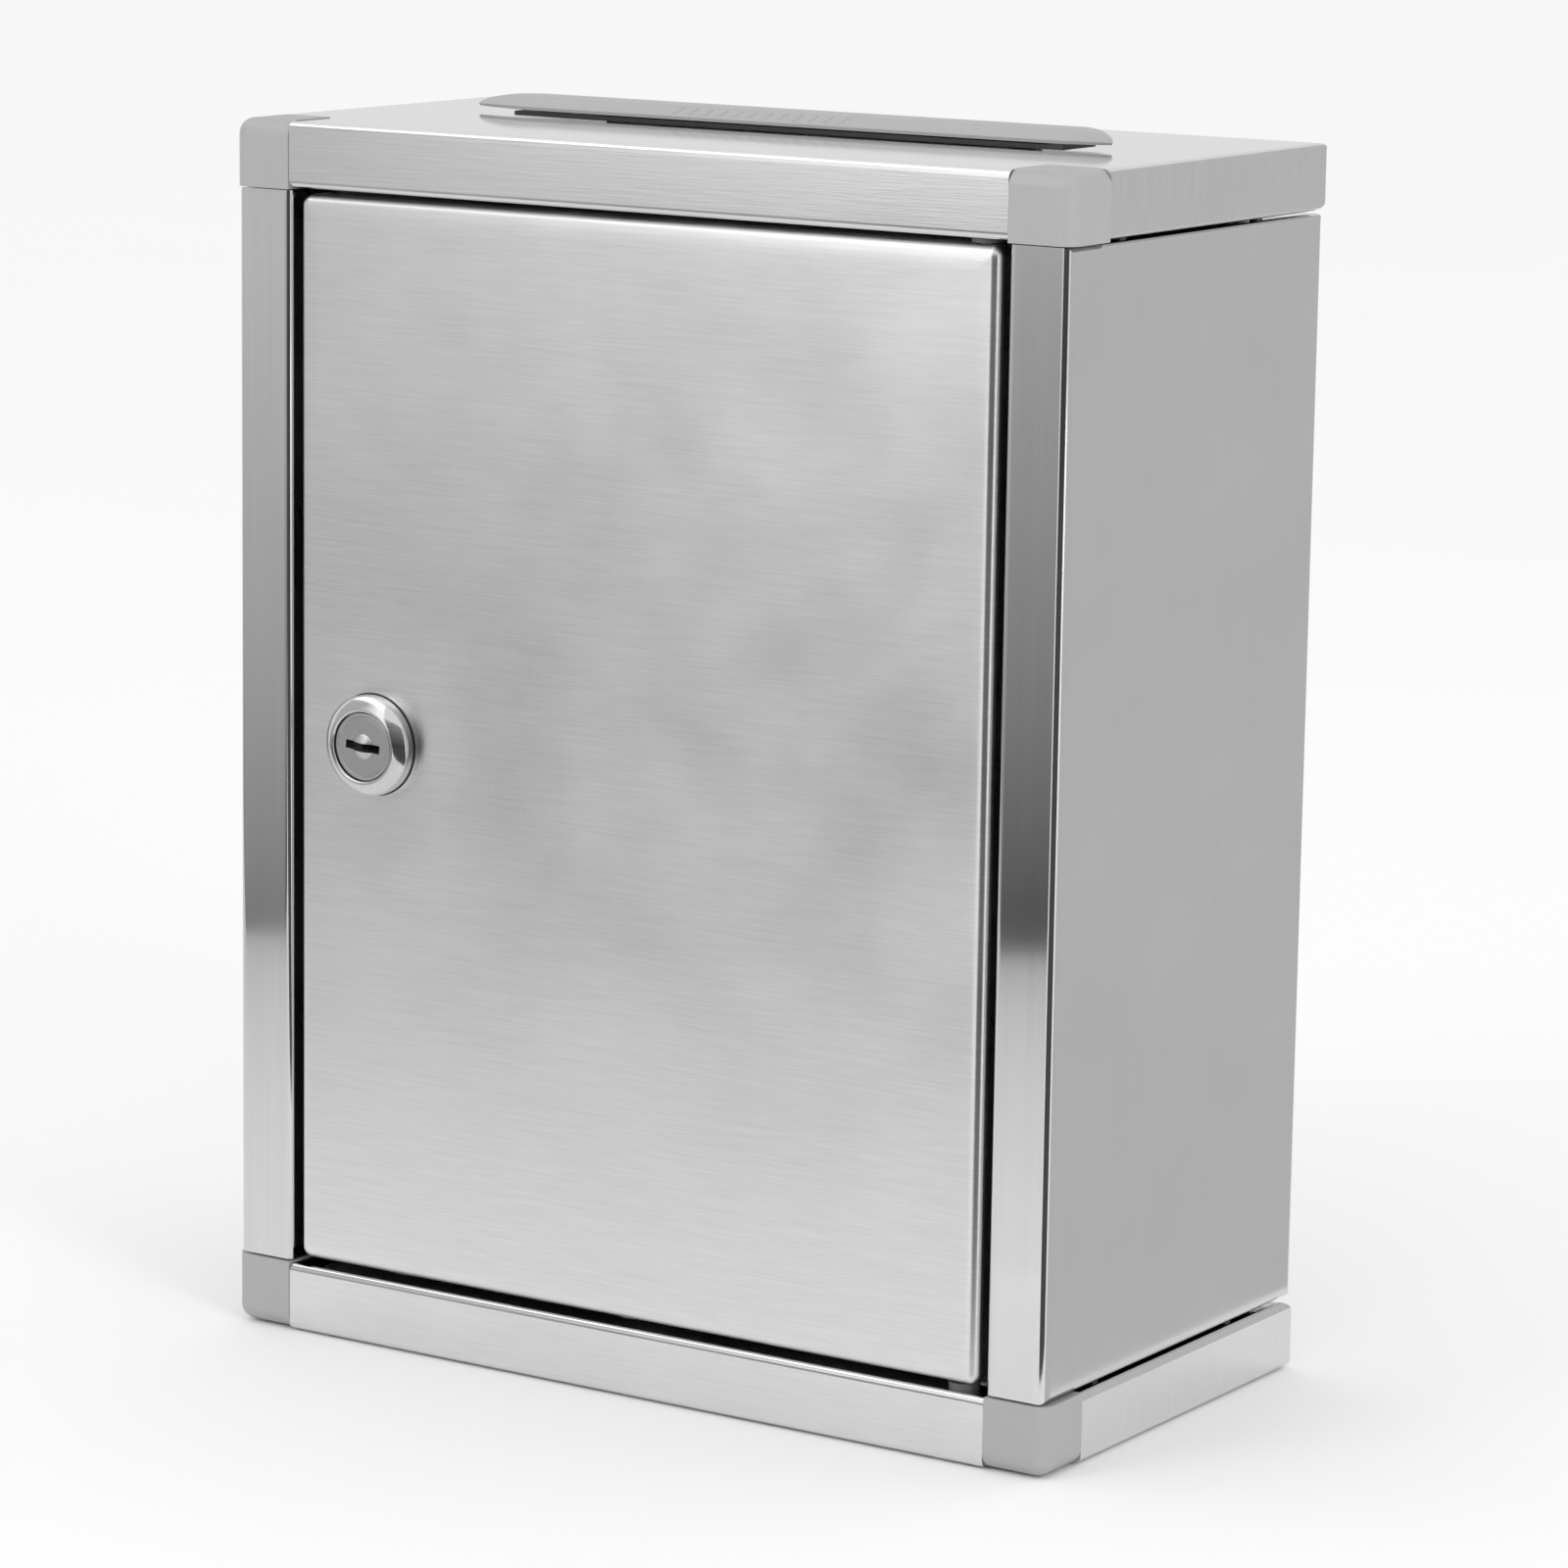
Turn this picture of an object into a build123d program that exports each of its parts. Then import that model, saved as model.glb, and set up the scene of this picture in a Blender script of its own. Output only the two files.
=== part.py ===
from build123d import *
import os

# Donation box in folded stainless sheet, in millimetres.
# +Z is up, the door faces -Y, and the origin is the middle of the footprint.

# Whole box, over the top and bottom trays
width = 251.0
depth = 127.0
height = 320.0
sheet = 0.8

# Trays: pans with rolled edges and lips turned inwards
top_tray_height = 17.0
bottom_tray_height = 18.0
tray_bend = 2.0
tray_corner = 1.5
tray_lip = 10.0
tray_rear_lip = 14.0
top_tray_rear_bend = 5.0
bottom_tray_rear_bend = 6.0
bottom_tray_heel_bend = 3.0

# Side panels, folded round to the front as pillars
body_inset = 0.5
body_gap = 0.7
body_low_gap = 0.9
pillar_width = 17.3
pillar_bend = 2.5
panel_flange = 12.0
panel_rear_bend = 2.0
return_depth = 14.0
stop_lip = 8.0
stop_leg = 10.0
stop_end_gap = 4.0
stop_gap = 1.6

# Corner caps
cap_size = 17.6
cap_proud = 0.25
cap_wall = 2.0
cap_corner = 4.0
cap_joint = 0.15
cap_tongue = 6.0
cap_rise = 0.4
cap_soft_edge = 0.3
cap_low_corner = 3.5
cap_tongue_wall = 1.2
cap_tongue_gap = 0.05
cap_tongue_inset = 3.0

# Door
door_half_width = 105.2
door_low_gap = 2.0
door_top_gap = 1.4
door_depth = 14.0
door_roll = 3.0
door_corner = 1.2

# Door hinge: a pin at the top and one at the bottom, on the right
hinge_x = 98.5
hinge_y = -57.2
hinge_pin_radius = 2.0
hinge_head_radius = 3.5
hinge_head = 1.0
hinge_pin_reach = 7.0
pivot_plate_reach = 10.5
pivot_plate_gap = 0.5
pivot_plate_thickness = 1.5
running_clearance = 0.05
body_clearance = 0.3

# Cam lock, in the door's free side
lock_x = -80.0
lock_z = 161.0
bezel_radius = 13.5
bezel_height = 6.2
bezel_bore = 9.1
bezel_edge = 1.4
lock_head_radius = 10.5
lock_head = 3.8
lock_thread_radius = 9.0
lock_flat = 8.2
lock_length = 16.5
lock_washer_radius = 12.5
lock_nut_half = 12.0
lock_nut_depth = 4.0
plug_radius = 6.0
plug_face_radius = 8.8
plug_face = 1.4
key_dome_radius = 3.3
key_dome_height = 1.4
key_slot_length = 10.8
key_slot_width = 2.2
key_slot_tilt = 4.0
drive_square = 7.0
cam_thickness = 1.8
cam_width = 13.0
cam_reach = 32.0
wafer_count = 5
wafer_pitch = 2.4
wafer_thickness = 0.9
wafer_half_height = 3.2
wafer_slack = 0.05
key_way_half = 4.2
key_way_depth = 13.5
screw_radius = 1.9
screw_reach = 7.0
screw_head_radius = 4.2
screw_head = 2.4

# Slot in the top tray, its frame and the flap over it
slot_half_length = 78.0
slot_front = 3.5
slot_rear = 13.5
frame_wall = 1.2
frame_margin = 4.5
frame_front = 2.0
frame_slack = 0.2
ridge_half = 6.0
ridge_place = 50.0
ridge_sunk = 0.4
ridge_proud = 0.8
ridge_depth = 1.5
frame_drop = 12.0
frame_flange = 0.6
flap_hinge_y = 20.4
flap_hinge_rise = 1.9
flap_barrel_radius = 1.6
flap_pin_radius = 0.8
flap_barrel_half = 66.0
flap_lug_width = 6.0
flap_lug_spacing = 55.0
flap_front = 0.3
flap_tip_x = 96.8
flap_tip_y = 4.3
flap_tip_rise = 1.9
flap_shoulder_x = 84.0
flap_rear_half = 86.0
flap_wall = 1.3
flap_low_edge = 1.2
flap_brow = 1.9
flap_crest = 4.7
flap_crest_y = 10.5

# Fastenings
rivet_inset = 6.5
rivet_rear_inset = 10.5
rivet_side_places = (-30.0, 38.0)
rivet_rear_place = 60.0
rivet_radius = 1.6
rivet_head_radius = 3.2
rivet_head = 0.9
rivet_tail_radius = 2.4
rivet_tail = 1.2
wall_hole_radius = 3.0
wall_hole_spacing_x = 170.0
wall_hole_spacing_z = 200.0
bumper_radius = 3.4
bumper_inset = 3.8
bumper_heights = (60.0, 262.0)

# Positions worked out from the sizes above
half_width = width / 2
half_depth = depth / 2
top_lip_z = height - top_tray_height
bottom_lip_z = bottom_tray_height
panel_x = half_width - body_inset
panel_front = -half_depth + body_inset
panel_rear = half_depth - body_inset - 0.3
panel_low = bottom_lip_z + body_low_gap
panel_high = top_lip_z - body_gap
pillar_x = panel_x - pillar_width
back_face = panel_rear - sheet
door_front = panel_front
door_rear = door_front + door_depth
door_low = bottom_lip_z + door_low_gap
door_high = top_lip_z - door_top_gap
stop_y = door_rear + stop_gap
flap_hinge_z = height + flap_hinge_rise
far = 400.0


def block(x, y, z):
    """Box between the low and high values of three spans."""
    middle = Pos((x[0] + x[1]) / 2, (y[0] + y[1]) / 2, (z[0] + z[1]) / 2)
    return middle * Box(x[1] - x[0], y[1] - y[0], z[1] - z[0])


def upright(x, y, radius, z):
    """Round bar along Z."""
    return Pos(x, y, (z[0] + z[1]) / 2) * Cylinder(radius, z[1] - z[0])


def corner_waste(a, b, radii):
    """What comes off a rectangle to round its corners: low-low, high-low, high-high, low-high."""
    beyond = 1.0
    corners = [(a[0], b[0], -1, -1), (a[1], b[0], 1, -1), (a[1], b[1], 1, 1), (a[0], b[1], -1, 1)]
    waste = []
    for (corner_a, corner_b, sign_a, sign_b), radius in zip(corners, radii):
        if radius > 0:
            side = radius + beyond
            middle_a = corner_a + sign_a * (beyond - radius) / 2
            middle_b = corner_b + sign_b * (beyond - radius) / 2
            square = Pos(middle_a, middle_b) * Rectangle(side, side)
            round_part = Pos(corner_a - sign_a * radius, corner_b - sign_b * radius) * Circle(radius)
            waste.append(square - round_part)
    return waste


def rounded_block(x, y, z, plan, front, side):
    """Block whose edges are rounded as seen from above, from the front and from the side."""
    solid = block(x, y, z)
    for outline in corner_waste(x, y, plan):
        solid -= extrude(outline, amount=far, both=True)
    for outline in corner_waste(x, z, front):
        solid -= extrude(Plane.XZ * outline, amount=far, both=True)
    for outline in corner_waste(y, z, side):
        solid -= extrude(Plane.YZ * outline, amount=far, both=True)
    return solid


def inner_radii(radii, wall):
    return [max(radius - wall, 0) for radius in radii]


def folded_shell(x, y, z, plan, front, side, wall=sheet):
    """Closed shell of one wall thickness, to be cut open into a folded pan."""
    outer = rounded_block(x, y, z, plan, front, side)
    inner = rounded_block(
        (x[0] + wall, x[1] - wall),
        (y[0] + wall, y[1] - wall),
        (z[0] + wall, z[1] - wall),
        inner_radii(plan, wall),
        inner_radii(front, wall),
        inner_radii(side, wall),
    )
    return outer - inner


def rivet_places():
    """Rivets that join a tray's lip to the flanges of the side and back panels."""
    side_x = half_width - rivet_inset
    rear_y = half_depth - rivet_rear_inset
    places = [(sign * side_x, y) for sign in (-1, 1) for y in rivet_side_places]
    places += [(sign * rivet_rear_place, rear_y) for sign in (-1, 1)]
    return places


def tray_corners(z):
    """Spaces that the front corner caps fill, with a narrow joint all round."""
    inner_x = half_width - cap_size - cap_joint
    rear_y = -half_depth + cap_size + cap_joint
    left = block((-far, -inner_x), (-far, rear_y), z)
    right = block((inner_x, far), (-far, rear_y), z)
    return left + right


def tray(z, side_bends, lip_z):
    """Pan with its lips turned inwards at lip_z, without its front corners."""
    shell = folded_shell(
        (-half_width, half_width),
        (-half_depth, half_depth),
        z,
        (0, 0, tray_corner, tray_corner),
        (tray_bend, tray_bend, tray_bend, tray_bend),
        side_bends,
    )
    inside_x = half_width - tray_lip
    inside_y = (-half_depth + tray_lip, half_depth - tray_rear_lip)
    shell -= block((-inside_x, inside_x), inside_y, (lip_z - 2 * sheet, lip_z + 2 * sheet))
    shell -= tray_corners((z[0] - 1, z[1] + 1))
    for x, y in rivet_places():
        shell -= upright(x, y, rivet_radius, (lip_z - 2 * sheet, lip_z + 2 * sheet))
    shell -= upright(hinge_x, hinge_y, hinge_pin_radius, (lip_z - 2 * sheet, lip_z + 2 * sheet))
    return shell


def top_tray():
    bends = (tray_bend, top_tray_rear_bend, tray_bend, tray_bend)
    pan = tray((top_lip_z, height), bends, top_lip_z)
    reach = frame_wall + frame_slack
    cut = block(
        (-slot_half_length - reach, slot_half_length + reach),
        (slot_front - reach, slot_rear + reach),
        (height - 2 * sheet, height + sheet),
    )
    return pan - cut


def bottom_tray():
    bends = (tray_bend, bottom_tray_heel_bend, bottom_tray_rear_bend, tray_bend)
    return tray((0, bottom_lip_z), bends, bottom_lip_z)


def side_panel():
    """Right-hand panel: side, front pillar with its return, and flanges behind, above and below."""
    shell = folded_shell(
        (pillar_x, panel_x),
        (panel_front, panel_rear),
        (panel_low, panel_high),
        (tray_bend, pillar_bend, panel_rear_bend, 0),
        (0, tray_bend, tray_bend, 0),
        (0, tray_bend, tray_bend, 0),
    )
    flange_x = panel_x - panel_flange
    window = block(
        (pillar_x - 1, flange_x),
        (panel_front + return_depth, panel_rear + 1),
        (panel_low - 1, panel_high + 1),
    )
    shell -= window
    for x, y in rivet_places():
        shell -= upright(x, y, rivet_radius, (panel_low - 1, panel_low + 1))
        shell -= upright(x, y, rivet_radius, (panel_high - 1, panel_high + 1))
    return shell


def door_stop():
    """Angle strip spot-welded inside the left pillar: it stops the door and holds the cam."""
    weld_x = -pillar_x - sheet
    lip_rear = stop_y + sheet
    z = (panel_low + stop_end_gap, panel_high - stop_end_gap)
    leg = block((weld_x - sheet, weld_x), (lip_rear - stop_leg, lip_rear), z)
    lip = block((weld_x - sheet, -pillar_x + stop_lip), (stop_y, lip_rear), z)
    return leg + lip


def back_panel():
    """Flat sheet inside the side panels' rear flanges, with its own flanges above and below."""
    edge_x = panel_x - panel_rear_bend - 0.1
    flange_half = panel_x - panel_flange - 0.5
    inner_face = back_face - sheet
    low = panel_low + tray_bend + 0.1
    high = panel_high - tray_bend - 0.1
    plate = block((-edge_x, edge_x), (inner_face, back_face), (low, high))
    folded = folded_shell(
        (-flange_half - sheet, flange_half + sheet),
        (back_face - tray_rear_lip, back_face),
        (panel_low, panel_high),
        (0, 0, 0, 0),
        (0, 0, 0, 0),
        (0, tray_bend, tray_bend, 0),
    )
    flange_y = (back_face - tray_rear_lip + sheet, back_face)
    folded &= block((-flange_half, flange_half), flange_y, (0, height))
    panel = plate + folded
    for x, y in rivet_places():
        panel -= upright(x, y, rivet_radius, (panel_low - 1, panel_low + 1))
        panel -= upright(x, y, rivet_radius, (panel_high - 1, panel_high + 1))
    for sign_x in (-1, 1):
        for sign_z in (-1, 1):
            x = sign_x * wall_hole_spacing_x / 2
            z = height / 2 + sign_z * wall_hole_spacing_z / 2
            bar = Pos(x, back_face, z) * Rot(90, 0, 0) * Cylinder(wall_hole_radius, 10)
            panel -= bar
    return panel


def corner_cap(z, low_round, high_round, tongue_z):
    """Right-hand cap: moulded corner, hollow behind, with a tongue behind each tray flange."""
    inner_x = half_width - cap_size
    rear_y = -half_depth + cap_size
    outer_x = half_width + cap_proud
    front_y = -half_depth - cap_proud
    solid = rounded_block(
        (inner_x, outer_x),
        (front_y, rear_y),
        z,
        (cap_soft_edge, cap_corner, cap_soft_edge, 0),
        (0, low_round, high_round, 0),
        (low_round, 0, 0, high_round),
    )
    hollow = rounded_block(
        (inner_x - 1, outer_x - cap_wall),
        (front_y + cap_wall, rear_y + 1),
        (z[0] + cap_wall, z[1] - cap_wall),
        (0, cap_corner - cap_wall, 0, 0),
        (0, 0, 0, 0),
        (0, 0, 0, 0),
    )
    cap = solid - hollow
    low_y = -half_depth + sheet + cap_tongue_gap
    high_x = half_width - sheet - cap_tongue_gap
    front_x = (inner_x - cap_tongue, inner_x + cap_wall)
    side_y = (rear_y - cap_wall, rear_y + cap_tongue)
    front_tongue = block(front_x, (low_y, low_y + cap_tongue_wall), tongue_z)
    side_tongue = block((high_x - cap_tongue_wall, high_x), side_y, tongue_z)
    return cap + front_tongue + side_tongue


def top_cap():
    z = (top_lip_z - cap_rise, height + cap_proud)
    tongue_z = (top_lip_z + cap_tongue_inset, height - cap_tongue_inset)
    return corner_cap(z, cap_soft_edge, cap_corner, tongue_z)


def bottom_cap():
    z = (0, bottom_lip_z + cap_rise)
    tongue_z = (cap_tongue_inset, bottom_lip_z - cap_tongue_inset)
    return corner_cap(z, cap_low_corner, cap_soft_edge, tongue_z)


def door_panel():
    """Pan with rolled edges, open behind, with the lock hole and the two pin holes."""
    shell = folded_shell(
        (-door_half_width, door_half_width),
        (door_front, door_rear + 2 * sheet),
        (door_low, door_high),
        (door_roll, door_roll, 0, 0),
        (door_corner, door_corner, door_corner, door_corner),
        (door_roll, 0, 0, door_roll),
    )
    shell &= block((-far, far), (-far, door_rear), (-far, far))
    lock_hole = lock_plane() * Cylinder(lock_thread_radius + 0.2, 6)
    lock_hole &= lock_plane() * Box(40, 2 * (lock_flat + 0.2), 6)
    shell -= lock_hole
    shell -= upright(hinge_x, hinge_y, hinge_pin_radius + running_clearance, (0, height))
    return shell


def pivot_plate(z):
    """Doubler that thickens the door's return round a hinge pin."""
    x = (hinge_x - pivot_plate_reach, door_half_width - sheet - pivot_plate_gap)
    y = (door_front + door_roll, door_rear - 2 * pivot_plate_gap)
    plate = block(x, y, z)
    return plate - upright(hinge_x, hinge_y, hinge_pin_radius + running_clearance, (0, height))


def hinge_pin(head_z, shank_z):
    """Riveted pin: its head lies inside the tray, and its shank runs through the door's return."""
    head = upright(hinge_x, hinge_y, hinge_head_radius, head_z)
    return head + upright(hinge_x, hinge_y, hinge_pin_radius, shank_z)


def hinge_washer(z):
    bore = hinge_pin_radius + running_clearance
    return upright(hinge_x, hinge_y, 2 * hinge_pin_radius, z) - upright(hinge_x, hinge_y, bore, (0, height))


def lock_plane():
    """Local frame of the lock: z out of the door's face, y up."""
    return Plane(origin=(lock_x, door_front, lock_z), x_dir=(1, 0, 0), z_dir=(0, -1, 0))


def turned(radius, z):
    """Disc on the lock's axis, between two heights over the door's face."""
    return lock_plane() * Pos(0, 0, (z[0] + z[1]) / 2) * Cylinder(radius, z[1] - z[0])


def lock_block(x, y, z):
    return lock_plane() * block(x, y, z)


def lock_bezel():
    """Domed chrome ring that caps the housing's head."""
    rim = bezel_bore + 1.0
    dome_mid = (bezel_radius - 1.1, bezel_height - 1.5)
    profile = make_face([
        Line((lock_head_radius, 0), (bezel_radius, 0)),
        Line((bezel_radius, 0), (bezel_radius, bezel_edge)),
        ThreePointArc((bezel_radius, bezel_edge), dome_mid, (rim, bezel_height)),
        Line((rim, bezel_height), (bezel_bore, bezel_height - 0.5)),
        Line((bezel_bore, bezel_height - 0.5), (bezel_bore, lock_head)),
        Line((bezel_bore, lock_head), (lock_head_radius, lock_head)),
        Line((lock_head_radius, lock_head), (lock_head_radius, 0)),
    ])
    ring = revolve(Plane.XZ * profile, axis=Axis.Z)
    return lock_plane() * ring


def lock_housing():
    """Head in front of the door, and a threaded shank with two flats through it."""
    shank = turned(lock_thread_radius, (-lock_length, 0))
    shank &= lock_block((-20, 20), (-lock_flat, lock_flat), (-lock_length, 0))
    body = shank + turned(lock_head_radius, (0, lock_head))
    return body - turned(plug_radius + running_clearance, (-lock_length - 1, lock_head + 1))


def lock_washer():
    z = (-2 * sheet, -sheet)
    return turned(lock_washer_radius, z) - turned(lock_thread_radius + 0.2, (-6, 1))


def lock_nut():
    hexagon = extrude(RegularPolygon(lock_nut_half, 6, major_radius=False), amount=lock_nut_depth)
    nut = lock_plane() * Pos(0, 0, -2 * sheet - lock_nut_depth) * hexagon
    return nut - turned(lock_thread_radius, (-10, 1))


def wafer_levels():
    first = -2.2
    return [first - index * wafer_pitch for index in range(wafer_count)]


def lock_plug():
    """Round face with a raised centre and a key slot, barrel cut for the wafers, square tail."""
    face_low = lock_head + body_clearance
    face_high = face_low + plug_face
    tail = -lock_length - 0.5
    plug = turned(plug_face_radius, (face_low, face_high))
    dome_ball = (key_dome_radius ** 2 + key_dome_height ** 2) / (2 * key_dome_height)
    dome = lock_plane() * Pos(0, 0, face_high + key_dome_height - dome_ball) * Sphere(dome_ball)
    plug += dome & turned(key_dome_radius + 1, (face_low, face_high + 4))
    plug += turned(plug_radius, (tail, face_low))
    half = drive_square / 2
    plug += lock_block((-half, half), (-half, half), (tail - cam_thickness, tail))
    slot_x = (-key_slot_length / 2, key_slot_length / 2)
    slot_y = (-key_slot_width / 2, key_slot_width / 2)
    slot = block(slot_x, slot_y, (0, 2 * face_high))
    slot += block((-key_way_half, key_way_half), slot_y, (-key_way_depth, 1))
    plug -= lock_plane() * Rot(0, 0, -key_slot_tilt) * slot
    pocket_y = (-wafer_half_height - 0.1, wafer_half_height + 0.1)
    for level in wafer_levels():
        pocket_z = (level - wafer_thickness - wafer_slack, level + wafer_slack)
        plug -= lock_block((-2 * plug_radius, 2 * plug_radius), pocket_y, pocket_z)
    return plug - turned(screw_radius, (-far, tail + screw_reach - 1))


def lock_wafers():
    """Thin brass plates that slide across the barrel, each with a window for the key."""
    wafers = []
    window_x = 4.4
    window_y = 1.9
    for level in wafer_levels():
        z = (level - wafer_thickness, level)
        wafer = lock_block((-plug_radius, plug_radius), (-wafer_half_height, wafer_half_height), z)
        wafer &= turned(plug_radius - 0.1, z)
        window = lock_block((-window_x, window_x), (-window_y, window_y), (z[0] - 1, z[1] + 1))
        wafers.append(wafer - window)
    return Compound(children=wafers)


def lock_cam():
    """Steel strip on the plug's square tail, hanging down when the lock is open."""
    high = -lock_length - 0.5
    z = (high - cam_thickness, high)
    half = cam_width / 2
    strip = lock_block((-half, half), (-cam_reach + half, 0), z)
    strip += turned(half, z)
    strip += lock_plane() * Pos(0, -cam_reach + half, (z[0] + z[1]) / 2) * Cylinder(half, cam_thickness)
    square = drive_square / 2
    return strip - lock_block((-square, square), (-square, square), (z[0] - 1, z[1] + 1))


def cam_screw():
    """Pan-head screw with a cross recess that clamps the cam."""
    seat = -lock_length - 0.5 - cam_thickness
    head = turned(screw_head_radius, (seat - screw_head, seat))
    head = fillet(head.edges().group_by(Axis.Y)[-1], 1.0)
    screw = head + turned(screw_radius, (seat, seat + screw_reach))
    wing = (-screw_head_radius / 2, screw_head_radius / 2)
    recess = block(wing, (-0.45, 0.45), (seat - screw_head - 1, seat - screw_head / 2))
    for turn in (0, 90):
        screw -= lock_plane() * Rot(0, 0, turn) * recess
    return screw


def lug_places():
    return [index * flap_lug_spacing for index in (-1, 0, 1)]


def across(radius, y, z, x):
    """Round bar along X."""
    return Pos((x[0] + x[1]) / 2, y, z) * Rot(0, 90, 0) * Cylinder(radius, x[1] - x[0])


def slot_frame():
    """Plastic liner: flange on the plate, throat through it, snap ridges below, lugs behind."""
    throat_x = slot_half_length + frame_wall
    throat_y = (slot_front - frame_wall, slot_rear + frame_wall)
    flange_top = height + frame_flange
    flange_rear = flap_hinge_y - flap_barrel_radius - 0.6
    flange_x = throat_x + frame_margin
    frame = block((-flange_x, flange_x), (frame_front, flange_rear), (height, flange_top))
    frame += block((-throat_x, throat_x), throat_y, (height - frame_drop, flange_top))
    for x in lug_places():
        span = (x - flap_lug_width / 2, x + flap_lug_width / 2)
        frame += block(span, (flange_rear - 1, flap_hinge_y), (height, height + flap_hinge_rise))
        frame += block(span, (flap_hinge_y - 1, flap_hinge_y + 1), (height, height + flap_hinge_rise))
        frame += across(flap_barrel_radius, flap_hinge_y, flap_hinge_z, span)
    slot = block((-slot_half_length, slot_half_length), (slot_front, slot_rear), (height - 50, height + 50))
    frame -= slot
    ridge_top = height - sheet - 0.05
    ridge_z = (ridge_top - ridge_depth, ridge_top)
    front_ridge = (throat_y[0] - ridge_proud, throat_y[0] + ridge_sunk)
    rear_ridge = (throat_y[1] - ridge_sunk, throat_y[1] + ridge_proud)
    for x in (-ridge_place, ridge_place):
        frame += block((x - ridge_half, x + ridge_half), front_ridge, ridge_z)
        frame += block((x - ridge_half, x + ridge_half), rear_ridge, ridge_z)
    return frame - across(flap_pin_radius, flap_hinge_y, flap_hinge_z, (-far, far))


def flap_hinge_pin():
    end = flap_barrel_half - 1.0
    return across(flap_pin_radius, flap_hinge_y, flap_hinge_z, (-end, end))


def flap_outline():
    """The flap from above: straight front, round-nosed ends, and a straight back."""
    rear = flap_hinge_y + flap_barrel_radius
    straight = 70.0
    nose = 0.6
    nose_low = (flap_tip_x, flap_tip_y - nose)
    nose_high = (flap_tip_x, flap_tip_y + nose)
    right = [
        Line((0, flap_front), (straight, flap_front)),
        ThreePointArc((straight, flap_front), (straight + 15, flap_front + 1.0), nose_low),
        ThreePointArc(nose_low, (flap_tip_x + 0.4, flap_tip_y), nose_high),
        ThreePointArc(nose_high, (94.2, 14.5), (flap_rear_half, rear)),
        Line((flap_rear_half, rear), (0, rear)),
        Line((0, rear), (0, flap_front)),
    ]
    half = make_face(right)
    return half + mirror(half, about=Plane.YZ)


def flap_side_view():
    """The flap from the front: level over the slot, and rounded down to a nose at each end."""
    beyond = flap_tip_x + 2
    tip_z = height + flap_tip_rise
    crest_z = height + flap_crest + 0.1
    right = [
        Line((0, height), (beyond, height)),
        Line((beyond, height), (beyond, tip_z)),
        Line((beyond, tip_z), (flap_tip_x + 0.4, tip_z)),
        ThreePointArc((flap_tip_x + 0.4, tip_z), (93.6, height + 4.0), (flap_shoulder_x, crest_z)),
        Line((flap_shoulder_x, crest_z), (0, crest_z)),
        Line((0, crest_z), (0, height)),
    ]
    half = make_face(right)
    return half + mirror(half, about=Plane.YZ)


def slot_flap():
    """Moulded hood over the slot, on a barrel along its back edge."""
    low = height + flap_low_edge
    crest = height + flap_crest
    top_rear = flap_hinge_z + flap_barrel_radius
    section = make_face(Polyline(
        (0, low),
        (0, height + flap_brow),
        (flap_crest_y, crest),
        (flap_hinge_y, top_rear),
        (flap_hinge_y, flap_hinge_z),
        (flap_hinge_y - 2, low),
        (0, low),
    ))
    hood = extrude(Plane.YZ * section, amount=flap_tip_x + 1, both=True)
    barrel_x = (-flap_barrel_half, flap_barrel_half)
    hood += across(flap_barrel_radius, flap_hinge_y, flap_hinge_z, barrel_x)
    hood &= extrude(Plane.XY.offset(height) * flap_outline(), amount=10)
    hood &= extrude(Plane.XZ * flap_side_view(), amount=far, both=True)
    hollow_rear = flap_hinge_y - 2 * flap_wall
    hollow_section = make_face(Polyline(
        (flap_wall, low - 1),
        (flap_wall, low),
        (flap_crest_y, crest - flap_wall),
        (hollow_rear, top_rear - flap_wall),
        (hollow_rear, low - 1),
        (flap_wall, low - 1),
    ))
    hollow_half = flap_barrel_half + 16.0
    hood -= extrude(Plane.YZ * hollow_section, amount=hollow_half, both=True)
    for x in lug_places():
        notch = flap_lug_width / 2 + body_clearance
        reach = flap_barrel_radius + body_clearance
        span = (x - notch, x + notch)
        hood -= block(span, (flap_hinge_y - reach, far), (height, height + 20))
        hood -= block(span, (flap_crest_y, far), (height, flap_hinge_z + body_clearance))
    bore = flap_pin_radius + running_clearance
    return hood - across(bore, flap_hinge_y, flap_hinge_z, (-far, far))


def tray_rivets(head_z, tail_z):
    """Blind rivets: broad head inside the box, formed tail inside the tray."""
    rivets = []
    for x, y in rivet_places():
        rivet = upright(x, y, rivet_radius, (min(head_z + tail_z), max(head_z + tail_z)))
        rivet += upright(x, y, rivet_head_radius, head_z)
        rivet += upright(x, y, rivet_tail_radius, tail_z)
        rivets.append(rivet)
    return Compound(children=rivets)


def top_tray_rivets():
    head_high = panel_high - sheet
    tail_low = top_lip_z + sheet
    return tray_rivets((head_high - rivet_head, head_high), (tail_low, tail_low + rivet_tail))


def bottom_tray_rivets():
    head_low = panel_low + sheet
    tail_high = bottom_lip_z - sheet
    return tray_rivets((head_low, head_low + rivet_head), (tail_high - rivet_tail, tail_high))


def door_bumpers():
    """Rubber dots on the stop lip, where the door's free edge comes to rest."""
    dots = []
    thick = stop_gap - body_clearance
    for z in bumper_heights:
        place = Pos(-pillar_x + bumper_inset, stop_y - thick / 2, z) * Rot(90, 0, 0)
        dots.append(place * Cylinder(bumper_radius, thick))
    return Compound(children=dots)


def across_the_middle(shape):
    return mirror(shape, about=Plane.YZ)


door_return_low = door_low + sheet
door_return_high = door_high - sheet

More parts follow.
